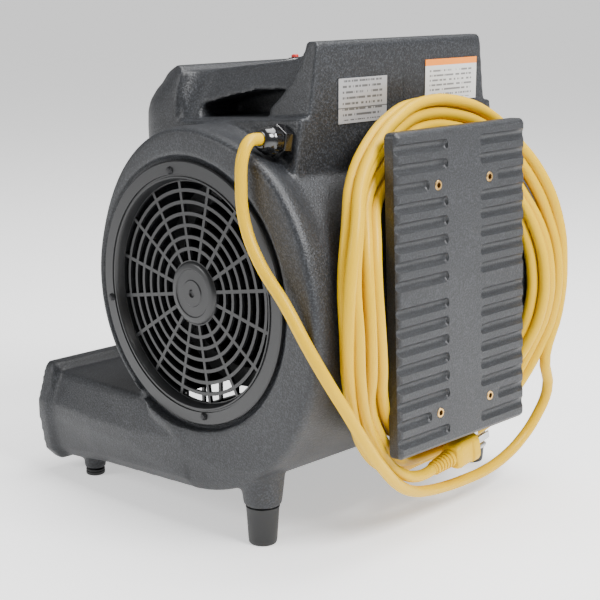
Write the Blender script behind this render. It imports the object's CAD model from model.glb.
"""Portable air mover: two-part moulded blower housing, side grilles, rear cord plate and wound mains cord.

+Z is up, the air leaves along -Y, the fan turns about X, and the feet stand on z = 0. Metres throughout.
"""

from math import asin, atan2, cos, degrees, pi, radians, sin

import bmesh
import bpy
from mathutils import Matrix, Vector


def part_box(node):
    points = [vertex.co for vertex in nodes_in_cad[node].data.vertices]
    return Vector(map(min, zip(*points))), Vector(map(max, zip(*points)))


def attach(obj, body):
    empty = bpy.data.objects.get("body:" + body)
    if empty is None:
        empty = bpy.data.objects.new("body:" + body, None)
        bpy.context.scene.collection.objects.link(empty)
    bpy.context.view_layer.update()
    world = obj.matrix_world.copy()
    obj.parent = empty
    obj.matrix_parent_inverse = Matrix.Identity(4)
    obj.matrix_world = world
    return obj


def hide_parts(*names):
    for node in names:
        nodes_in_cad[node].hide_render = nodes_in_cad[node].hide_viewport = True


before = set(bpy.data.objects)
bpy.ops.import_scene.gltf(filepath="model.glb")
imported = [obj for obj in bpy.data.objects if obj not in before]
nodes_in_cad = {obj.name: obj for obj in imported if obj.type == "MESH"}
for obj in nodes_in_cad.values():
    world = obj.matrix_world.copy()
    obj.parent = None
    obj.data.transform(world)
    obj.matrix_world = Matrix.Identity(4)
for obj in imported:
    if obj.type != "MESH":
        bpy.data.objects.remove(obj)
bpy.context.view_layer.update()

# ---------------------------------------------------------------- camera
# The view is from behind and above the machine's left shoulder, at standing height a good metre away.
camera = bpy.data.objects.new("camera", bpy.data.cameras.new("camera"))
bpy.context.scene.collection.objects.link(camera)
camera.data.sensor_width = 36.0
camera.data.lens = 81.894
camera.data.clip_end = 400.0
camera.location = (0.8908, 0.8705, 0.4707)
camera.rotation_euler = (radians(76.53), 0.0, radians(134.67))
bpy.context.scene.camera = camera


# ---------------------------------------------------------------- mains cord
# A 10 mm round yellow cord, 7.6 m long: out of the gland, down the side, then about eight turns in two
# layers behind the cord plate, ending in the plug that lies on the bottom run.
# The jacket's finish is made first: every finish is a grain left by the mould, with scuffs and dust laid over it.
def effect(name, inputs, outputs):
    """An empty node group with its sockets, and its input and output nodes."""
    group = bpy.data.node_groups.new(name, "ShaderNodeTree")
    for socket, kind in inputs:
        group.interface.new_socket(socket, in_out="INPUT", socket_type=kind)
    for socket in outputs:
        group.interface.new_socket(socket, in_out="OUTPUT", socket_type="NodeSocketFloat")
    return group, group.nodes.new("NodeGroupInput"), group.nodes.new("NodeGroupOutput")


def make_grain():
    group, start, end = effect(
        "moulded_grain",
        [("Place", "NodeSocketVector"), ("Grains", "NodeSocketFloat")],
        ["Height", "Speckle"],
    )
    nodes, links = group.nodes, group.links
    fine = nodes.new("ShaderNodeTexNoise")
    fine.inputs["Detail"].default_value = 3.0
    fine.inputs["Roughness"].default_value = 0.6
    cells = nodes.new("ShaderNodeTexVoronoi")
    cells.feature = "SMOOTH_F1"
    cells.inputs["Smoothness"].default_value = 0.4
    spread = nodes.new("ShaderNodeMapRange")
    spread.inputs["From Min"].default_value = 0.46
    spread.inputs["From Max"].default_value = 0.72
    both = nodes.new("ShaderNodeMath")
    both.operation = "MULTIPLY_ADD"
    both.inputs[1].default_value = 0.6
    for texture in (fine, cells):
        links.new(start.outputs["Place"], texture.inputs["Vector"])
        links.new(start.outputs["Grains"], texture.inputs["Scale"])
    links.new(cells.outputs["Distance"], both.inputs[0])
    links.new(fine.outputs["Fac"], both.inputs[2])
    links.new(fine.outputs["Fac"], spread.inputs["Value"])
    links.new(both.outputs[0], end.inputs["Height"])
    links.new(spread.outputs["Result"], end.inputs["Speckle"])
    return group


def make_wear():
    group, start, end = effect(
        "handling_wear", [("Place", "NodeSocketVector")], ["Scuff", "Patch", "Dust"]
    )
    nodes, links = group.nodes, group.links
    patch = nodes.new("ShaderNodeTexNoise")
    patch.inputs["Scale"].default_value = 14.0
    patch.inputs["Detail"].default_value = 4.0
    stretch = nodes.new("ShaderNodeMapping")
    stretch.inputs["Scale"].default_value = (1.0, 1.0, 7.0)
    stretch.inputs["Rotation"].default_value = (0.5, 0.3, 0.2)
    scratch = nodes.new("ShaderNodeTexNoise")
    scratch.inputs["Scale"].default_value = 90.0
    scratch.inputs["Detail"].default_value = 5.0
    scuff = nodes.new("ShaderNodeMapRange")
    scuff.inputs["From Min"].default_value = 0.60
    scuff.inputs["From Max"].default_value = 0.78
    geometry = nodes.new("ShaderNodeNewGeometry")
    axes = nodes.new("ShaderNodeSeparateXYZ")
    upward = nodes.new("ShaderNodeMapRange")
    upward.inputs["From Min"].default_value = 0.35
    upward.inputs["From Max"].default_value = 1.0
    dust = nodes.new("ShaderNodeMath")
    dust.operation = "MULTIPLY"
    links.new(start.outputs["Place"], patch.inputs["Vector"])
    links.new(start.outputs["Place"], stretch.inputs["Vector"])
    links.new(stretch.outputs["Vector"], scratch.inputs["Vector"])
    links.new(scratch.outputs["Fac"], scuff.inputs["Value"])
    links.new(geometry.outputs["Normal"], axes.inputs["Vector"])
    links.new(axes.outputs["Z"], upward.inputs["Value"])
    links.new(upward.outputs["Result"], dust.inputs[0])
    links.new(patch.outputs["Fac"], dust.inputs[1])
    links.new(scuff.outputs["Result"], end.inputs["Scuff"])
    links.new(patch.outputs["Fac"], end.inputs["Patch"])
    links.new(dust.outputs[0], end.inputs["Dust"])
    return group


GRAIN = make_grain()
WEAR = make_wear()


def blend_colour(nodes, links, below, above, share, mask):
    """Lays a colour over another one where the mask is bright."""
    amount = nodes.new("ShaderNodeMath")
    amount.operation = "MULTIPLY"
    amount.inputs[1].default_value = share
    mix = nodes.new("ShaderNodeMix")
    mix.data_type = "RGBA"
    links.new(mask, amount.inputs[0])
    links.new(amount.outputs[0], mix.inputs["Factor"])
    for value, socket in ((below, mix.inputs[6]), (above, mix.inputs[7])):
        if isinstance(value, tuple):
            socket.default_value = (*value, 1.0)
        else:
            links.new(value, socket)
    return mix.outputs[2]


def finish(
    name, colour, rough, grains, relief, speckle=0.3, lift=1.8, dust=0.15, scuff=0.25, metal=0.0, coat=0.0, gloss=0.5
):
    """A finish for a piece: its colour, the size and depth of its grain, and how worn it is."""
    mat = bpy.data.materials.new(name)
    mat.use_nodes = True
    nodes, links = mat.node_tree.nodes, mat.node_tree.links
    shader = nodes["Principled BSDF"]
    shader.inputs["Metallic"].default_value = metal
    shader.inputs["Coat Weight"].default_value = coat
    shader.inputs["Coat Roughness"].default_value = 0.12
    shader.inputs["Specular IOR Level"].default_value = gloss
    place = nodes.new("ShaderNodeTexCoord").outputs["Object"]
    grain = nodes.new("ShaderNodeGroup")
    grain.node_tree = GRAIN
    grain.inputs["Grains"].default_value = grains
    wear = nodes.new("ShaderNodeGroup")
    wear.node_tree = WEAR
    links.new(place, grain.inputs["Place"])
    links.new(place, wear.inputs["Place"])
    pale = tuple(min(1.0, c * lift) for c in colour)
    grey = tuple(min(1.0, 0.6 * c + 0.07) for c in colour)
    shade = tuple(c * 0.72 for c in colour)
    paint = blend_colour(nodes, links, colour, pale, speckle, grain.outputs["Speckle"])
    paint = blend_colour(nodes, links, paint, shade, 0.5, wear.outputs["Patch"])
    paint = blend_colour(nodes, links, paint, grey, scuff * 0.5, wear.outputs["Scuff"])
    paint = blend_colour(nodes, links, paint, grey, dust, wear.outputs["Dust"])
    links.new(paint, shader.inputs["Base Color"])
    matt = nodes.new("ShaderNodeMapRange")
    matt.inputs["From Min"].default_value = 0.0
    matt.inputs["From Max"].default_value = 1.0
    matt.inputs["To Min"].default_value = rough - 0.05
    matt.inputs["To Max"].default_value = min(1.0, rough + 0.12)
    links.new(wear.outputs["Patch"], matt.inputs["Value"])
    links.new(matt.outputs["Result"], shader.inputs["Roughness"])
    bump = nodes.new("ShaderNodeBump")
    bump.inputs["Strength"].default_value = 0.6
    bump.inputs["Distance"].default_value = relief
    links.new(grain.outputs["Height"], bump.inputs["Height"])
    links.new(bump.outputs["Normal"], shader.inputs["Normal"])
    return mat


CORD_LENGTH, CORD_D = 7.62, 0.010
FAN_Y, FAN_Z = 0.020, 0.2085
CUTOFF_R, TOP_R, REAR_R, SCROLL_GROWTH = 0.123, 0.140, 0.1475, 0.0265
GLAND = Vector((0.1268, 0.0965, 0.3400))
GLAND_OUT = Matrix.Rotation(-radians(8.5), 3, "Y") @ Vector((1, 0, 0))
PLUG = Vector((-0.019, 0.1700, 0.0610))
PLUG_FRAME = (
    Matrix.Translation(PLUG) @ Matrix.Rotation(radians(10.0), 4, "Y") @ Matrix.Rotation(radians(-90.0), 4, "Y")
)


def ease(value, start, end):
    t = min(max((value - start) / (end - start), 0.0), 1.0)
    return t * t * (3.0 - 2.0 * t)


def scroll_radius(theta):
    """Scroll radius at an angle (degrees) from +Y towards +Z, from -90 to 270."""
    if theta < 15.0:
        return REAR_R + SCROLL_GROWTH * ((15.0 - theta) / 105.0) ** 1.2
    if theta < 85.0:
        return TOP_R + (REAR_R - TOP_R) * ease(theta, 80.0, 42.0)
    if theta < 240.0:
        return CUTOFF_R + (TOP_R - CUTOFF_R) * ease(theta, 165.0, 95.0)
    return CUTOFF_R + (REAR_R + SCROLL_GROWTH - CUTOFF_R) * (theta - 240.0) / 30.0


def rear_of_drum(z):
    """Y of the drum's rear surface at a height."""
    theta = 0.0
    for _ in range(8):
        theta = degrees(asin(max(-1.0, min(1.0, (z - FAN_Z) / scroll_radius(theta)))))
    return FAN_Y + scroll_radius(theta) * cos(radians(theta))


def winding_point(angle, column, layer):
    """Centre of a strand: column 0 is innermost and layer 0 lies on the drum."""
    c, s = cos(angle), sin(angle)
    share = (column + 0.5) / 4.0
    side = ease(c, -0.6, 0.6)
    power = 2.0 / (2.12 - 0.12 * side)
    half_x = (0.104 + 0.041 * share) * (1.0 - side) + (0.101 + 0.046 * share) * side
    half_z = 0.1185 + 0.046 * share
    x = half_x * abs(c) ** power * (1 if c >= 0 else -1)
    z = 0.206 + half_z * abs(s) ** power * (1 if s >= 0 else -1)
    low = ease(-s, -0.5, 0.5)
    end, cross = 0.1360 + 0.0040 * low, 0.1500 + 0.0137 * low
    y = end + (cross - end) * ease(abs(c), 0.0, 0.70)
    y = y + (0.1812 - cross) * ease(abs(x), 0.086, 0.150)
    y = max(y, rear_of_drum(z) + 0.0115)
    return Vector((x, y + 0.0101 * (layer - 0.5), z))


def along(keys, at):
    """Eased value between keys of (position, value)."""
    for (a, u), (b, v) in zip(keys, keys[1:]):
        if at <= b:
            return u + (v - u) * ease(at, a, b)
    return keys[-1][1]


COLUMNS = [
    (0.0, 3.3), (0.75, 3.2), (1.05, 3.05), (1.9, 2.95), (2.15, 2.0), (2.9, 2.05), (3.15, 1.0), (3.9, 0.95),
    (4.15, 0.0), (4.9, 0.1), (5.15, 0.35), (5.9, 0.3), (6.15, 1.3), (6.9, 1.35), (7.15, 2.3), (8.0, 2.5),
]
LAYERS = [(0.0, 1.0), (0.80, 1.0), (1.02, 0.0), (4.9, 0.0), (5.10, 1.0), (8.0, 1.0)]
lead = [
    GLAND + GLAND_OUT * 0.0160,
    GLAND + GLAND_OUT * 0.0300,
    Vector((0.1640, 0.0970, 0.3435)),
    Vector((0.1715, 0.0975, 0.3340)),
    Vector((0.1745, 0.0980, 0.3130)),
    Vector((0.1750, 0.1020, 0.2820)),
    Vector((0.1755, 0.1190, 0.2520)),
    Vector((0.1745, 0.1460, 0.2230)),
    Vector((0.1695, 0.1640, 0.1935)),
    Vector((0.1590, 0.1780, 0.1630)),
    Vector((0.1450, 0.1850, 0.1370)),
    Vector((0.1250, 0.1850, 0.1090)),
    Vector((0.0985, 0.1810, 0.0795)),
    Vector((0.0680, 0.1745, 0.0535)),
    Vector((0.0450, 0.1695, 0.0410)),
    Vector((0.0188, 0.1650, 0.0330)),
    Vector((-0.0100, 0.1620, 0.0282)),
    Vector((-0.0400, 0.1605, 0.0262)),
    Vector((-0.0700, 0.1600, 0.0268)),
    Vector((-0.0980, 0.1600, 0.0322)),
    Vector((-0.1230, 0.1605, 0.0432)),
    Vector((-0.1410, 0.1640, 0.0620)),
    Vector((-0.1490, 0.1700, 0.0880)),
]
route = list(lead)
FIRST_ANGLE = -48.0
FIRST_STEP, LAST_STEP = 7, 8 * 24
for i in range(FIRST_STEP, LAST_STEP + 1):
    turn = i / 24.0
    wander = 0.11 * sin(2.3 * turn * 2 * pi + turn) + 0.08 * sin(3.7 * turn * 2 * pi + 2.0 * turn)
    heave = 0.05 * sin(1.7 * turn * 2 * pi + 3.0 * turn)
    angle = radians(FIRST_ANGLE - 360.0 * turn)
    route.append(winding_point(angle, along(COLUMNS, turn) + wander, along(LAYERS, turn) + heave))
route += [
    Vector((0.0740, 0.1690, 0.0715)),
    Vector((0.0570, 0.1700, 0.0590)),
    Vector((0.0420, 0.1702, 0.0536)),
    PLUG_FRAME @ Vector((0, 0, -0.0480)),
    PLUG_FRAME @ Vector((0, 0, -0.0390)),
]
curve = bpy.data.curves.new("mains_cord", "CURVE")
curve.dimensions = "3D"
curve.bevel_depth = CORD_D / 2
curve.bevel_resolution = 4
curve.resolution_u = 4
curve.use_fill_caps = True
spline = curve.splines.new("BEZIER")
spline.bezier_points.add(len(route) - 1)
for point, place in zip(spline.bezier_points, route):
    point.co = place
    point.handle_left_type = "AUTO"
    point.handle_right_type = "AUTO"
mains_cord = bpy.data.objects.new("mains_cord", curve)
bpy.context.scene.collection.objects.link(mains_cord)
jacket = finish(
    "yellow_jacket", (0.72, 0.435, 0.0), 0.34, 420.0, 0.00012, speckle=0.12, lift=1.10, dust=0.0, scuff=0.0, gloss=0.2
)
mains_cord.data.materials.append(jacket)
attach(mains_cord, "machine")
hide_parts("power_cord", "cord_coil", "cord_tail")


# ---------------------------------------------------------------- housing
# Two moulded halves in textured charcoal plastic that meet on the centre plane: drum, low snout, nose,
# handle slots and tower, with soft rounded edges all over and bosses for the feet and the cord plate.
WALL = 0.0045
EDGE_X, SIDE_X, SKIRT_X, SKIRT = 0.157, 0.165, 0.178, 0.62
RECESS_R, FLANGE_T, INLET_R = 0.1165, 0.0045, 0.0985
TOWER_Y, TOWER_Z = 0.113, 0.418
INNER_X = -0.006  # the half is modelled a little past the centre plane and trimmed back to it
PARTING = 0.00015


def loose(name, bm):
    """A bmesh as a working object that isn't shown."""
    bmesh.ops.recalc_face_normals(bm, faces=bm.faces)
    mesh = bpy.data.meshes.new(name)
    bm.to_mesh(mesh)
    bm.free()
    ob = bpy.data.objects.new(name, mesh)
    bpy.context.scene.collection.objects.link(ob)
    return ob


def loft(name, rings):
    """A closed solid through rings of equal point counts."""
    bm = bmesh.new()
    loops = []
    for ring in rings:
        verts = [bm.verts.new(p) for p in ring]
        edges = [bm.edges.new((a, b)) for a, b in zip(verts, verts[1:] + verts[:1])]
        loops.append(edges)
    for a, b in zip(loops, loops[1:]):
        bmesh.ops.bridge_loops(bm, edges=a + b)
    for edges in (loops[0], loops[-1]):
        bmesh.ops.contextual_create(bm, geom=edges)
    return loose(name, bm)


def turned(name, profile, at, direction, steps=64):
    """A turned solid from (radius, height) points, about a line from a point."""
    bm = bmesh.new()
    verts = [bm.verts.new((r, 0.0, h)) for r, h in profile]
    edges = [bm.edges.new(pair) for pair in zip(verts, verts[1:])]
    if profile[0][0] > 0.0:
        edges.append(bm.edges.new((verts[-1], verts[0])))
    bmesh.ops.spin(
        bm, geom=verts + edges, axis=(0, 0, 1), cent=(0, 0, 0), angle=2 * pi, steps=steps, use_merge=True
    )
    bmesh.ops.remove_doubles(bm, verts=bm.verts, dist=0.00001)
    turn = Vector((0, 0, 1)).rotation_difference(Vector(direction)).to_matrix().to_4x4()
    bmesh.ops.transform(bm, matrix=Matrix.Translation(Vector(at)) @ turn, verts=bm.verts)
    return loose(name, bm)


def rod(name, radius, start, end, steps=24):
    span = Vector(end) - Vector(start)
    return turned(name, [(0.0, span.length), (radius, span.length), (radius, 0.0), (0.0, 0.0)], start, span, steps)


def block(name, low, high):
    bm = bmesh.new()
    bmesh.ops.create_cube(bm, size=1.0)
    bmesh.ops.scale(bm, vec=[b - a for a, b in zip(low, high)], verts=bm.verts)
    bmesh.ops.translate(bm, vec=[(a + b) / 2 for a, b in zip(low, high)], verts=bm.verts)
    return loose(name, bm)


def settle(ob):
    """Applies an object's modifiers to its mesh."""
    bpy.context.view_layer.update()
    mesh = bpy.data.meshes.new_from_object(ob.evaluated_get(bpy.context.evaluated_depsgraph_get()))
    ob.modifiers.clear()
    ob.data = mesh
    return ob


def carve(ob, tools, operation="DIFFERENCE", solver="MANIFOLD"):
    for tool in tools:
        mod = ob.modifiers.new("carve", "BOOLEAN")
        mod.operation = operation
        mod.solver = solver
        mod.object = tool
        settle(ob)
        bpy.data.objects.remove(tool, do_unlink=True)
    return ob


def scroll_ring(x_of, r_of, n=144):
    ring = []
    for i in range(n):
        theta = -90.0 + 360.0 * i / n
        r = r_of(theta)
        ring.append((x_of(theta), FAN_Y + r * cos(radians(theta)), FAN_Z + r * sin(radians(theta))))
    return ring


def skirt(theta):
    if theta <= 90.0:
        return 1.0 - ease(theta, -100.0, -48.0)
    return ease(theta, 225.0, 250.0)


def dip(theta):
    """How far the drum's middle lies under its rims, round the rear shoulder."""
    return 0.0075 * ease(theta, 12.0, 40.0) * (1.0 - ease(theta, 58.0, 88.0))


def drum_shell():
    rise = (SKIRT_X - SIDE_X) * SKIRT

    def face_radius(theta):
        return max(scroll_radius(theta) - 0.004 - 0.034 * skirt(theta), RECESS_R + 0.0022)

    rings = [
        scroll_ring(lambda t: INNER_X, lambda t: scroll_radius(t) - dip(t)),
        scroll_ring(lambda t: 0.132, lambda t: scroll_radius(t) - dip(t)),
        scroll_ring(lambda t: 0.140, lambda t: scroll_radius(t) - dip(t) * 0.75),
        scroll_ring(lambda t: 0.149, lambda t: scroll_radius(t) - dip(t) * 0.25),
        scroll_ring(lambda t: EDGE_X, scroll_radius),
        scroll_ring(lambda t: EDGE_X + 0.0045, lambda t: scroll_radius(t) - 0.001),
        scroll_ring(
            lambda t: EDGE_X + 0.0060 + 0.005 * skirt(t), lambda t: scroll_radius(t) - 0.002 - 0.010 * skirt(t)
        ),
        scroll_ring(lambda t: SIDE_X + rise * skirt(t), face_radius),
        scroll_ring(lambda t: SIDE_X + 0.8 * rise * skirt(t), lambda t: RECESS_R - 0.002),
        scroll_ring(lambda t: SIDE_X - 0.001, lambda t: RECESS_R - 0.012),
    ]
    return loft("drum", rings)


def air_space():
    floor = SIDE_X - FLANGE_T - 0.0003 - WALL
    rings = [
        scroll_ring(lambda t: 2 * INNER_X, lambda t: scroll_radius(t) - dip(t) - WALL),
        scroll_ring(lambda t: 0.132 - WALL, lambda t: scroll_radius(t) - dip(t) - WALL),
        scroll_ring(lambda t: floor - 0.004, lambda t: scroll_radius(t) - WALL),
        scroll_ring(lambda t: floor, lambda t: scroll_radius(t) - WALL - 0.003),
    ]
    return loft("air_space", rings)


SNOUT = [  # y, bottom, foot x, crease z, crease x, edge x, top
    (-0.190, 0.0110, 0.160, 0.066, 0.178, 0.166, 0.1085),
    (-0.178, 0.0110, 0.160, 0.066, 0.178, 0.166, 0.1085),
    (-0.170, 0.0155, 0.156, 0.066, 0.174, 0.162, 0.1015),
    (-0.110, 0.0240, 0.157, 0.067, 0.177, 0.166, 0.1040),
    (-0.050, 0.0290, 0.158, 0.069, 0.177, 0.168, 0.1060),
    (0.020, 0.0345, 0.159, 0.075, 0.17306, 0.165, 0.0950),
]


def snout_shell(name, inset):
    rows = list(SNOUT)
    if inset:
        rows = [(-0.210, *SNOUT[2][1:]), *SNOUT[2:]]
    rings = []
    for y, bottom, foot_x, crease_z, crease_x, edge_x, top in rows:
        x0 = INNER_X if not inset else 2 * INNER_X
        rings.append(
            [
                (x0, y, bottom + inset),
                (foot_x - inset, y, bottom + inset),
                (foot_x + 0.011 - inset, y, bottom + 0.012 + inset * 0.4),
                (crease_x - 0.001 - inset, y, crease_z - 0.006),
                (crease_x - 0.001 - inset, y, crease_z + 0.006),
                (edge_x + 0.001 - inset, y, top - 0.005 - inset * 0.4),
                (edge_x - 0.003 - inset, y, top - inset),
                (x0, y, top - inset),
            ]
        )
    return loft(name, rings)


def ledge(y):
    return 0.3455 + 0.09 * (y + 0.042)


def upper_width(z):
    return 0.114 - 0.145 * (z - 0.356)


NOSE_FRONT = [
    (0.2150, 0.1150), (0.3350, 0.1195), (0.3500, 0.1190), (0.3590, 0.1162), (0.3647, 0.1122), (0.3700, 0.1082),
    (0.3745, 0.1032), (0.3790, 0.0985), (0.3828, 0.0935), (0.3855, 0.0885), (0.3873, 0.0840), (0.3886, 0.0778),
    (0.4300, 0.0720),
]
BLOCK_OUTLINE = [
    (-0.1300, 0.3895), (-0.0680, 0.3900), (-0.0640, 0.3908), (-0.0570, 0.3925), (-0.0500, 0.3918),
    (-0.0485, 0.3870), (0.0520, 0.4000), (0.0600, 0.4012), (0.0680, 0.4042), (0.0760, 0.4082), (0.0860, 0.4145),
    (0.0940, 0.4175), (0.1010, TOWER_Z), (TOWER_Y - 0.003, TOWER_Z), (TOWER_Y, TOWER_Z - 0.003),
    (TOWER_Y + 0.001, 0.205), (-0.1300, 0.205),
]
CHEEK = [
    (0.049, 0.0005), (0.060, 0.0048), (0.070, 0.0108), (0.080, 0.0205), (0.088, 0.0300), (0.094, 0.0400),
    (0.098, 0.0510), (0.103, 0.0750),
]


def upper_block():
    """The nose, handle and tower above the drum."""

    def plan(z, front):
        corner = min(0.055, front - 0.046)
        wide = 0.118 - 0.22 * max(0.0, 0.1195 - front)
        pts = [(INNER_X, -front, z)]
        for i in range(13):
            a = radians(-90.0 + 7.5 * i)
            pts.append((wide - corner + corner * cos(a), corner - front + corner * sin(a), z))
        w = 0.132 - 0.174 * (z - 0.310)
        pts += [(wide, -0.0455, z), (w, TOWER_Y - 0.002, z), (w - 0.002, TOWER_Y, z)]
        return [*pts, (INNER_X, TOWER_Y, z)]

    ob = loft("block", [plan(*level) for level in NOSE_FRONT])
    outline = loft("outline", [[(x, y, z) for y, z in BLOCK_OUTLINE] for x in (2 * INNER_X, 0.2)])
    carve(ob, [outline], "INTERSECT")

    def side_cut(name, edge, inner, fillet=0.0):
        rings = []
        shares = [(0.0, 1.0), (0.1, 0.64), (0.25, 0.40), (0.45, 0.22), (0.7, 0.08), (1.0, 0.0)]
        for grow, back in shares if fillet else ((0.0, 1.0), (1.0, 0.0)):
            ring = []
            for y, z in edge:
                x = inner(z) + fillet * grow if back else 0.25
                ring.append((x, y + fillet * back if y < -0.045 else y, z))
            rings.append(ring)
        return loft(name, rings)

    step = [(-0.046, ledge(-0.046)), (0.2, ledge(0.2)), (0.2, 0.45), (-0.046, 0.45)]
    panel = [(-0.0455, ledge(-0.0455) + 0.0005)]
    panel += [(y, ledge(y) + rise) for y, rise in CHEEK]
    panel += [(-0.0455, 0.4300)]
    scoop = [
        (-0.027, 0.3490), (0.066, 0.3555), (0.066, 0.3770), (0.030, 0.3745), (0.000, 0.3680), (-0.027, 0.3600)
    ]
    return carve(
        ob,
        [
            side_cut("step", step, upper_width),
            side_cut("panel", panel, lambda z: 0.111 - 0.55 * (z - 0.345), 0.020),
            loft("slot", [[(x, y, z) for y, z in scoop] for x in (0.060, 0.25)]),
        ],
    )


def dry_space():
    back = TOWER_Y - WALL
    rings = []
    for z in (0.3420, 0.4095):
        side = upper_width(z) - WALL
        rings.append([(2 * INNER_X, 0.078, z), (side, 0.078, z), (side, back, z), (2 * INNER_X, back, z)])
    tower = loft("tower_space", rings)
    outline = [(-0.046, 0.3560), (0.090, 0.3560), (0.090, 0.3985), (0.056, 0.3955), (-0.046, 0.3822)]
    panel = loft("panel_space", [[(x, y, z) for y, z in outline] for x in (2 * INNER_X, 0.050)])
    return carve(tower, [panel, block("gland_space", (0.085, 0.0838, 0.3260), (0.1205, back, 0.3530))], "UNION")


PLATE_LEAN, PLATE_T = 0.0426, 0.0138
PLATE_NORMAL = Vector((0.0, 1.0, PLATE_LEAN)).normalized()
PANEL_SLOPE = 0.1292
PANEL_NORMAL = Vector((0.0, -PANEL_SLOPE, 1.0)).normalized()


def plate_point(x, z, depth=0.0):
    """A point on the cord plate's outer face, or at a depth under it."""
    return Vector((x, 0.1790 + (0.3496 - z) * PLATE_LEAN, z)) - PLATE_NORMAL * depth


def panel_point(x, y, height=0.0):
    """A point on the control panel, or at a height above it."""
    return Vector((x, y, 0.3870 + PANEL_SLOPE * (y + 0.0485))) + PANEL_NORMAL * height


def rim_point(x, radius, angle):
    return Vector((x, FAN_Y + radius * cos(angle), FAN_Z + radius * sin(angle)))


SCREW_ANGLES = [radians(10.5 + 90.0 * k) for k in range(4)]

half = drum_shell()
posts = []
for z in (0.304, 0.113):
    foot = plate_point(0.034, z, PLATE_T + 0.0003)
    posts.append(rod("post", 0.012, foot - PLATE_NORMAL * 0.060, foot))
boss = [(0.0, 0.110), (0.023, 0.110), (0.0185, 0.055), (0.0162, 0.0343), (0.0, 0.0343)]
posts.append(turned("back_boss", boss, (0.143, 0.087, 0.0), (0, 0, 1)))
boss = [(0.0, 0.030), (0.0108, 0.030), (0.0102, 0.0063), (0.0, 0.0063)]
posts.append(turned("front_boss", boss, (0.143, -0.147, 0.0), (0, 0, 1)))
carve(half, [snout_shell("snout", 0.0), upper_block(), *posts], "UNION", "EXACT")
floor_x = SIDE_X - FLANGE_T - 0.0003
carve(
    half,
    [
        air_space(),
        snout_shell("duct", WALL),
        dry_space(),
        rod("recess", RECESS_R, (floor_x, FAN_Y, FAN_Z), (floor_x + 0.06, FAN_Y, FAN_Z), 96),
        rod("inlet", INLET_R, (floor_x - 0.02, FAN_Y, FAN_Z), (floor_x + 0.02, FAN_Y, FAN_Z), 96),
    ],
    "DIFFERENCE",
    "EXACT",
)
skin = half.modifiers.new("skin", "REMESH")
skin.mode = "VOXEL"
skin.voxel_size = 0.0020
skin.use_smooth_shade = True
relax = half.modifiers.new("relax", "SMOOTH")
relax.factor = 0.5
relax.iterations = 7
thin = half.modifiers.new("thin", "DECIMATE")
thin.ratio = 0.5
settle(half)


def trimmed(ob, name):
    """The half cut off flat at the parting plane."""
    bm = bmesh.new()
    bm.from_mesh(ob.data)
    geom = list(bm.verts) + list(bm.edges) + list(bm.faces)
    cut = bmesh.ops.bisect_plane(
        bm, geom=geom, plane_co=(PARTING, 0, 0), plane_no=(1, 0, 0), clear_inner=True, dist=0.00001
    )
    rim = [e for e in cut["geom_cut"] if isinstance(e, bmesh.types.BMEdge)]
    bmesh.ops.triangle_fill(bm, edges=rim, use_beauty=True, use_dissolve=False, normal=(-1, 0, 0))
    mesh = bpy.data.meshes.new(name)
    bm.to_mesh(mesh)
    bm.free()
    out = bpy.data.objects.new(name, mesh)
    bpy.context.scene.collection.objects.link(out)
    return out


charcoal = finish(
    "charcoal_moulding",
    (0.0125, 0.0135, 0.0155),
    0.42,
    640.0,
    0.0005,
    speckle=0.9,
    lift=5.0,
    dust=0.05,
    scuff=0.10,
    gloss=0.42,
)
left_half = trimmed(half, "housing_shell_left")
right_half = trimmed(half, "housing_shell_right")
right_half.data.transform(Matrix.Scale(-1.0, 4, Vector((1, 0, 0))))
right_half.data.flip_normals()
bpy.data.objects.remove(half, do_unlink=True)
breaker_at = panel_point(0.026, 0.010)
carve(left_half, [rod("breaker", 0.0062, breaker_at - PANEL_NORMAL * 0.012, breaker_at + PANEL_NORMAL * 0.012)])
carve(right_half, [block("switch", (-0.0400, -0.0105, 0.360), (-0.0120, 0.0305, 0.420))])
for shell, node in ((left_half, "housing_left"), (right_half, "housing_right")):
    shell.data.materials.clear()
    shell.data.materials.append(charcoal)
    shell.data.shade_smooth()
    shell.data.set_sharp_from_angle(angle=radians(50.0))
    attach(shell, "machine")
    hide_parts(node)


# ---------------------------------------------------------------- inlet grilles
# One moulded grille on each side, in smooth satin plastic: a flange with two fine lips, six rings, sixteen
# spokes and a domed hub, screwed into the recess at four places.
def shown(ob, mat, slot, *nodes, angle=35.0):
    """Finishes a piece that stands for CAD nodes of the machine body."""
    ob.data.materials.clear()
    ob.data.materials.append(mat)
    ob.data.shade_smooth()
    ob.data.set_sharp_from_angle(angle=radians(angle))
    even = ob.modifiers.new("even", "WEIGHTED_NORMAL")
    even.keep_sharp = True
    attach(ob, "machine")
    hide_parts(*nodes)
    return ob


def soften(ob, width, segments=2, angle=35.0):
    """Rounds the sharp edges of a moulded piece."""
    mod = ob.modifiers.new("soften", "BEVEL")
    mod.width = width
    mod.segments = segments
    mod.limit_method = "ANGLE"
    mod.angle_limit = radians(angle)
    mod.use_clamp_overlap = True
    return settle(ob)


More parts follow.
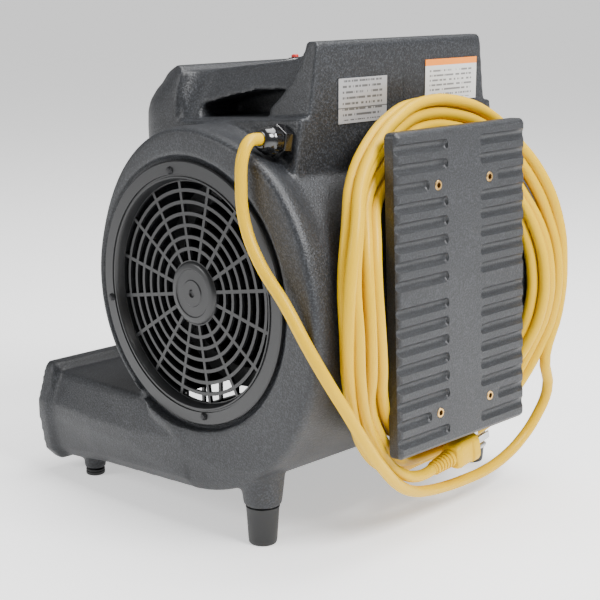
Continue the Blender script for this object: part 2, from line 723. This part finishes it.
OPEN_R, HUB_R, FLANGE_R, BAR_X, BAR_W = 0.097, 0.028, 0.1125, 0.157, 0.0030
SPOKES, RINGS = 16, 6
grille = finish("satin_grille", (0.012, 0.0125, 0.0135), 0.32, 1500.0, 0.00004, speckle=0.12, dust=0.03, scuff=0.08)
dish = [
    (0.0, BAR_X + 0.0014),
    (0.0030, BAR_X + 0.0014),
    (0.0036, BAR_X + 0.0032),
    (0.0110, BAR_X + 0.0032),
    (0.0118, BAR_X + 0.0024),
    (0.0200, BAR_X + 0.0022),
    (0.0208, BAR_X + 0.0030),
    (HUB_R - 0.0035, BAR_X + 0.0028),
    (HUB_R - 0.0018, BAR_X + 0.0018),
    (HUB_R - 0.0008, BAR_X),
    (OPEN_R - 0.0018, BAR_X),
    (OPEN_R - 0.0006, SIDE_X - 0.0030),
    (OPEN_R + 0.0004, SIDE_X - 0.0006),
    (OPEN_R + 0.0010, SIDE_X),
    (OPEN_R + 0.0022, SIDE_X),
    (OPEN_R + 0.0026, SIDE_X - 0.0012),
    (OPEN_R + 0.0040, SIDE_X - 0.0012),
    (OPEN_R + 0.0044, SIDE_X),
    (FLANGE_R - 0.0010, SIDE_X),
    (FLANGE_R, SIDE_X - 0.0010),
    (FLANGE_R, SIDE_X - FLANGE_T),
    (OPEN_R + 0.0010, SIDE_X - FLANGE_T),
    (OPEN_R + 0.0010, BAR_X - 0.0030),
    (0.0, BAR_X - 0.0030),
]
grille_left = turned("grille_left", dish, (0, FAN_Y, FAN_Z), (1, 0, 0), 96)
windows = bmesh.new()
pitch = (OPEN_R - HUB_R) / (RINGS + 1)
for k in range(RINGS + 1):
    inner = HUB_R + k * pitch + (BAR_W / 2 if k else 0.0)
    outer = HUB_R + (k + 1) * pitch - (BAR_W / 2 if k < RINGS else 0.0024)
    for i in range(SPOKES):
        start = radians(10.5) + 2 * pi * i / SPOKES
        cuts = []
        for radius, order in ((outer, 1), (inner, -1)):
            trim = BAR_W / 2 / radius
            low_angle, high_angle = start + trim, start + 2 * pi / SPOKES - trim
            span = [low_angle + (high_angle - low_angle) * j / 4 for j in range(5)]
            cuts += [rim_point(0.0, radius, a) for a in span[::order]]
        near = [windows.verts.new((BAR_X - 0.0060, p.y, p.z)) for p in cuts]
        face = windows.faces.new(near)
        wall = bmesh.ops.extrude_face_region(windows, geom=[face], use_keep_orig=True)
        moved = [v for v in wall["geom"] if isinstance(v, bmesh.types.BMVert)]
        bmesh.ops.translate(windows, vec=(0.0090, 0, 0), verts=moved)
carve(grille_left, [loose("windows", windows)])
holes = [rod("hole", 0.0024, rim_point(0.150, 0.1045, a), rim_point(0.170, 0.1045, a)) for a in SCREW_ANGLES]
carve(grille_left, holes)
soften(grille_left, 0.0005)
grille_right = bpy.data.objects.new("grille_right", grille_left.data.copy())
bpy.context.scene.collection.objects.link(grille_right)
grille_right.data.transform(Matrix.Scale(-1.0, 4, Vector((1, 0, 0))))
grille_right.data.flip_normals()
shown(grille_left, grille, "grille_plastic", "inlet_grille_left")
shown(grille_right, grille, "grille_plastic", "inlet_grille_right")


# ---------------------------------------------------------------- cord plate
# A thick moulded plate that keeps the wound cord on the back. Two columns of rounded finger grooves run
# out through its chamfered edges, and four brass inserts take its screws.
PLATE_W, PLATE_H = 0.171, 0.267
GROOVES, GROOVE_TOP, GROOVE_PITCH, GROOVE_GAP = 16, 0.1200, 0.01550, 0.0070
plate_mat = finish(
    "cord_plate", (0.0140, 0.0150, 0.0170), 0.42, 680.0, 0.0004, speckle=0.9, lift=4.2, dust=0.04, scuff=0.10
)
plate_height = PLATE_H / (1.0 + PLATE_LEAN**2) ** 0.5


def plate_ring(inset, depth, corner=0.005):
    pts = []
    for sx, sy, start in ((1, 1, 0.0), (-1, 1, 90.0), (-1, -1, 180.0), (1, -1, 270.0)):
        for k in range(7):
            a = radians(start + 15.0 * k)
            across = sx * (PLATE_W / 2 - corner) + (corner - inset) * cos(a)
            up = sy * (PLATE_H / 2 - corner) + (corner - inset) * sin(a)
            pts.append((across, up, depth))
    return pts


plate = loft(
    "cord_plate",
    [
        plate_ring(0.0015, -PLATE_T),
        plate_ring(0.0, -PLATE_T + 0.0015),
        plate_ring(0.0, -0.0036),
        plate_ring(0.0008, -0.0022),
        plate_ring(0.0022, -0.0008),
        plate_ring(0.0036, 0.0),
    ],
)
grooves = []
for side in (-1, 1):
    for k in range(GROOVES):
        up = GROOVE_TOP - k * GROOVE_PITCH - (GROOVE_GAP if k >= GROOVES // 2 else 0.0)
        inner = 0.0455 if k in (2, 14) else 0.0215
        long = 0.0900 - inner
        bar = [(0.0, long), (0.0050, long), (0.0050, 0.0030), (0.0042, 0.0012), (0.0026, 0.0), (0.0, 0.0)]
        grooves.append(turned("groove", bar, (side * inner, up, 0.0016), (side, 0, 0), 20))
carve(plate, grooves)
soften(plate, 0.0006, 2, 30.0)
tilt = Matrix.Rotation(radians(-90.0) + atan2(PLATE_LEAN, 1.0), 4, "X") @ Matrix.Rotation(pi, 4, "Z")
plate.data.transform(Matrix.Translation(plate_point(0.0, 0.3496 - plate_height / 2)) @ tilt)
bores = []
for z in (0.304, 0.113):
    for x in (0.034, -0.034):
        bores.append(rod("bore", 0.0045, plate_point(x, z, 0.0105), plate_point(x, z, -0.005)))
carve(plate, bores)
shown(plate, plate_mat, "plate_plastic", "cord_wrap_plate", angle=28.0)


# ---------------------------------------------------------------- feet
# Moulded rubber feet screwed to the bosses: tall tapered ones at the back and low ribbed ones in front,
# each with a chamfered sole round the recessed screw head.
rubber = finish("foot_rubber", (0.007, 0.0075, 0.008), 0.42, 1100.0, 0.00006, speckle=0.15, dust=0.03, scuff=0.12)
for side, x in (("left", 0.143), ("right", -0.143)):
    tall = [
        (0.0026, 0.0340), (0.0140, 0.0340), (0.0146, 0.0335), (0.0146, 0.0326), (0.0142, 0.0318), (0.0134, 0.0200),
        (0.0124, 0.0040), (0.0121, 0.0015), (0.0116, 0.0004), (0.0108, 0.0), (0.0060, 0.0), (0.0060, 0.0200),
        (0.0026, 0.0200),
    ]
    shown(turned(f"foot_tall_{side}", tall, (x, 0.087, 0.0), (0, 0, 1)), rubber, "foot_rubber", f"foot_back_{side}")
    low = [
        (0.0026, 0.0060), (0.0084, 0.0060), (0.0090, 0.0055), (0.0091, 0.0047), (0.0084, 0.0043), (0.0084, 0.0036),
        (0.0091, 0.0032), (0.0091, 0.0012), (0.0088, 0.0004), (0.0082, 0.0), (0.0060, 0.0), (0.0060, 0.0032),
        (0.0026, 0.0032),
    ]
    shown(turned(f"foot_low_{side}", low, (x, -0.147, 0.0), (0, 0, 1)), rubber, "foot_rubber", f"foot_front_{side}")


# ---------------------------------------------------------------- cord gland
# A black nylon gland: a threaded body with a hexagon against the tower wall, and a domed, finely ribbed
# nut that grips the cord.
nylon = finish(
    "gland_nylon", (0.004, 0.004, 0.0045), 0.16, 900.0, 0.00002, speckle=0.08, dust=0.02, scuff=0.05, coat=0.6
)
sleeve = [
    (0.0053, 0.0140), (0.0088, 0.0140), (0.0088, 0.0050), (0.0099, 0.0050), (0.0099, -0.0140), (0.0053, -0.0140)
]
gland = turned("gland_body_moulded", sleeve, GLAND, GLAND_OUT)
hexagon = [(0.0080, 0.0100), (0.0130, 0.0100), (0.0138, 0.0090), (0.0138, 0.0006), (0.0080, 0.0006)]
carve(gland, [turned("hexagon", hexagon, GLAND, GLAND_OUT, 6)], "UNION", "EXACT")
shown(soften(gland, 0.0004), nylon, "gland_nylon", "gland_body", angle=40.0)
cap = [
    (0.0053, 0.0262), (0.0066, 0.0262), (0.0082, 0.0252), (0.0096, 0.0230), (0.0105, 0.0200), (0.0109, 0.0180),
    (0.0118, 0.0172), (0.0118, 0.0106), (0.0114, 0.0103), (0.0091, 0.0103), (0.0091, 0.0143), (0.0053, 0.0150),
]
nut = turned("gland_nut_moulded", cap, GLAND, GLAND_OUT, 72)
across = GLAND_OUT.orthogonal().normalized()
ribs = []
for k in range(18):
    at = Matrix.Rotation(2 * pi * k / 18, 3, GLAND_OUT) @ across * 0.0121 + GLAND
    ribs.append(rod("flute", 0.0009, at + GLAND_OUT * 0.0120, at + GLAND_OUT * 0.0190, 10))
carve(nut, ribs)
shown(nut, nylon, "gland_nylon", "gland_nut", angle=40.0)


# ---------------------------------------------------------------- plug
# A moulded three-pin plug in the cord's yellow, with a pinched grip and a ribbed, tapered strain relief.
# Its two flat blades and round earth pin are plated brass.
def plug_ring(h, wide, tall):
    ring = []
    for i in range(48):
        a = 2 * pi * i / 48
        c, s = cos(a), sin(a)
        ring.append(
            (tall * abs(c) ** 0.65 * (1 if c > 0 else -1), wide * abs(s) ** 0.65 * (1 if s > 0 else -1), h)
        )
    return ring


grip = loft(
    "plug_grip",
    [
        plug_ring(-0.0150, 0.0082, 0.0082),
        plug_ring(-0.0143, 0.0092, 0.0098),
        plug_ring(-0.0120, 0.0102, 0.0114),
        plug_ring(-0.0085, 0.0104, 0.0124),
        plug_ring(-0.0070, 0.0092, 0.0126),
        plug_ring(0.0055, 0.0094, 0.0130),
        plug_ring(0.0070, 0.0110, 0.0133),
        plug_ring(0.0135, 0.0114, 0.0135),
        plug_ring(0.0146, 0.0110, 0.0131),
        plug_ring(0.0150, 0.0100, 0.0121),
    ],
)
grip.data.transform(PLUG_FRAME)
shown(grip, jacket, "cord_jacket", "plug_body", angle=32.0)
sleeve = [(0.0, -0.0153), (0.0078, -0.0153)]
for k in range(6):
    z, r = -0.0168 - 0.0037 * k, 0.0078 - 0.00028 * k
    sleeve += [(r, z), (r, z - 0.0018), (r - 0.0012, z - 0.0021), (r - 0.0013, z - 0.0034)]
sleeve += [(0.0056, -0.0395), (0.0053, -0.0400), (0.0, -0.0400)]
relief = turned("plug_relief", sleeve, (0, 0, 0), (0, 0, 1), 40)
relief.data.transform(PLUG_FRAME)
shown(relief, jacket, "cord_jacket", "plug_strain_relief", angle=50.0)


# ---------------------------------------------------------------- labels
# A printed foil rating label and a printed film notice on the tower's back, with plain bars in place of
# text, and the film overlay that covers the control panel.
def printed(name, base, ink, node, header, rows, split, metal, rough):
    """A label's finish: rows of broken bars, a header band and a dividing rule, placed from its CAD box."""
    low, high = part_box(node)
    mat = finish(name, base, rough, 1600.0, 0.00001, speckle=0.06, lift=1.1, dust=0.0, scuff=0.10, metal=metal)
    nodes, links = mat.node_tree.nodes, mat.node_tree.links
    shader = nodes["Principled BSDF"]
    axes = nodes.new("ShaderNodeSeparateXYZ")
    links.new(nodes["Texture Coordinate"].outputs["Object"], axes.inputs["Vector"])

    def share(output, start, end):
        node_range = nodes.new("ShaderNodeMapRange")
        node_range.clamp = False
        node_range.inputs["From Min"].default_value = start
        node_range.inputs["From Max"].default_value = end
        links.new(output, node_range.inputs["Value"])
        return node_range.outputs["Result"]

    def maths(operation, first, second):
        step = nodes.new("ShaderNodeMath")
        step.operation = operation
        for value, socket in ((first, step.inputs[0]), (second, step.inputs[1])):
            if isinstance(value, float):
                socket.default_value = value
            else:
                links.new(value, socket)
        return step.outputs[0]

    down = share(axes.outputs["Z"], high.z, low.z)
    over = share(axes.outputs["X"], high.x, low.x)
    row = maths("MULTIPLY", down, float(rows))
    bars = maths("LESS_THAN", maths("ABSOLUTE", maths("SUBTRACT", maths("FRACT", row, 0.0), 0.5), 0.0), 0.2)
    words = nodes.new("ShaderNodeTexNoise")
    words.inputs["Scale"].default_value = 1.0
    words.inputs["Detail"].default_value = 1.0
    spot = nodes.new("ShaderNodeCombineXYZ")
    links.new(maths("MULTIPLY", over, 26.0), spot.inputs["X"])
    links.new(maths("MULTIPLY", maths("FLOOR", row, 0.0), 7.3), spot.inputs["Y"])
    links.new(spot.outputs["Vector"], words.inputs["Vector"])
    dashes = maths("GREATER_THAN", words.outputs["Fac"], 0.46)
    inside = maths("MULTIPLY", maths("GREATER_THAN", over, 0.08), maths("LESS_THAN", over, 0.90))
    inside = maths("MULTIPLY", inside, maths("LESS_THAN", down, 0.94))
    inside = maths("MULTIPLY", inside, maths("GREATER_THAN", down, header + 0.04))
    mask = maths("MULTIPLY", maths("MULTIPLY", bars, dashes), inside)
    rule = maths("LESS_THAN", maths("ABSOLUTE", maths("SUBTRACT", down, split), 0.0), 0.012)
    mask = maths("MAXIMUM", mask, rule) if split else mask
    colour = shader.inputs["Base Color"].links[0].from_socket
    colour = blend_colour(nodes, links, colour, (0.03, 0.03, 0.03), 0.75, mask)
    if header:
        colour = blend_colour(nodes, links, colour, ink, 1.0, maths("LESS_THAN", down, header))
    links.new(colour, shader.inputs["Base Color"])
    return mat


RATING = printed("rating_print", (0.42, 0.42, 0.43), (0, 0, 0), "rating_label", 0.0, 8, 0.66, 0.35, 0.35)
NOTICE = printed("notice_print", (0.62, 0.62, 0.60), (0.85, 0.24, 0.01), "warning_label", 0.15, 9, 0.0, 0.0, 0.45)
OVERLAY = finish("panel_overlay", (0.62, 0.62, 0.60), 0.30, 1600.0, 0.00001, speckle=0.05, lift=1.1, dust=0.02)


# ---------------------------------------------------------------- carried-over pieces
FINISHES = {
    "grille_plastic": grille,
    "plate_plastic": plate_mat,
    "wheel_plastic": finish("blower_plastic", (0.010, 0.0105, 0.011), 0.45, 900.0, 0.00010),
    "switch_plastic": finish("switch_plastic", (0.006, 0.006, 0.0065), 0.33, 1500.0, 0.00003, speckle=0.1),
    "gland_nylon": nylon,
    "foot_rubber": rubber,
    "cord_jacket": jacket,
    "brass": finish("turned_brass", (0.72, 0.45, 0.16), 0.28, 1400.0, 0.00003, speckle=0.2, lift=1.2, metal=1.0),
    "zinc_steel": finish("zinc_steel", (0.55, 0.55, 0.56), 0.34, 1300.0, 0.00004, speckle=0.3, lift=1.2, metal=1.0),
    "black_screw": finish("black_screw", (0.020, 0.020, 0.022), 0.40, 1300.0, 0.00003, speckle=0.2, metal=0.6),
    "motor_paint": finish("motor_enamel", (0.030, 0.031, 0.033), 0.40, 700.0, 0.00010),
    "cast_alloy": finish("cast_alloy", (0.48, 0.48, 0.48), 0.50, 800.0, 0.00015, speckle=0.4, lift=1.3, metal=1.0),
    "capacitor_can": finish("capacitor_can", (0.60, 0.60, 0.60), 0.38, 500.0, 0.00004, lift=1.2, metal=0.9),
    "reset_red": finish("reset_red", (0.50, 0.02, 0.015), 0.35, 1200.0, 0.00003, speckle=0.1),
    "silver_label": finish("silver_label", (0.55, 0.55, 0.56), 0.35, 1600.0, 0.00002, speckle=0.1, metal=0.4),
    "white_label": finish("white_label", (0.80, 0.80, 0.78), 0.45, 1600.0, 0.00002, speckle=0.1, lift=1.1),
}
PRINTS = {"rating_label": RATING, "warning_label": NOTICE, "control_label": OVERLAY}
for ob in nodes_in_cad.values():
    slot_name = ob.data.materials[0].name.split(".")[0]
    if ob.hide_render or slot_name not in FINISHES:
        continue
    ob.data.materials.clear()
    ob.data.materials.append(PRINTS.get(ob.name, FINISHES[slot_name]))

# ---------------------------------------------------------------- floor and light
floor_mesh = bmesh.new()
bmesh.ops.create_grid(floor_mesh, x_segments=1, y_segments=1, size=80.0)
floor = loose("floor", floor_mesh)
pale = bpy.data.materials.new("pale_floor")
pale.use_nodes = True
pale_shader = pale.node_tree.nodes["Principled BSDF"]
pale_shader.inputs["Base Color"].default_value = (0.93, 0.93, 0.93, 1.0)
pale_shader.inputs["Roughness"].default_value = 0.8
pale_shader.inputs["Specular IOR Level"].default_value = 0.1
pale_shader.inputs["Emission Color"].default_value = (1.0, 1.0, 1.0, 1.0)
pale_shader.inputs["Emission Strength"].default_value = 0.70
floor.data.materials.append(pale)
world = bpy.data.worlds.new("studio")
world.use_nodes = True
sky_nodes, sky_links = world.node_tree.nodes, world.node_tree.links
sky = sky_nodes["Background"]
sky.inputs["Color"].default_value = (1.0, 1.0, 1.0, 1.0)
sky.inputs["Strength"].default_value = 0.36
backdrop = sky_nodes.new("ShaderNodeBackground")
backdrop.inputs["Color"].default_value = (1.0, 1.0, 1.0, 1.0)
backdrop.inputs["Strength"].default_value = 1.6
seen = sky_nodes.new("ShaderNodeLightPath")
either = sky_nodes.new("ShaderNodeMixShader")
sky_links.new(seen.outputs["Is Camera Ray"], either.inputs["Fac"])
sky_links.new(sky.outputs["Background"], either.inputs[1])
sky_links.new(backdrop.outputs["Background"], either.inputs[2])
sky_links.new(either.outputs["Shader"], sky_nodes["World Output"].inputs["Surface"])
bpy.context.scene.world = world


def softbox(name, place, aim, size, power):
    lamp = bpy.data.lights.new(name, "AREA")
    lamp.shape = "SQUARE"
    lamp.size = size
    lamp.energy = power
    ob = bpy.data.objects.new(name, lamp)
    bpy.context.scene.collection.objects.link(ob)
    ob.location = place
    ob.rotation_euler = (Vector(aim) - Vector(place)).to_track_quat("-Z", "Y").to_euler()


softbox("key_light", (-0.1, 1.6, 1.7), (0, 0, 0.2), 0.8, 75.0)
softbox("top_light", (-0.4, 0.2, 1.9), (0, 0, 0.25), 1.2, 45.0)
softbox("side_light", (1.8, -0.9, 1.1), (0, 0, 0.2), 0.8, 22.0)
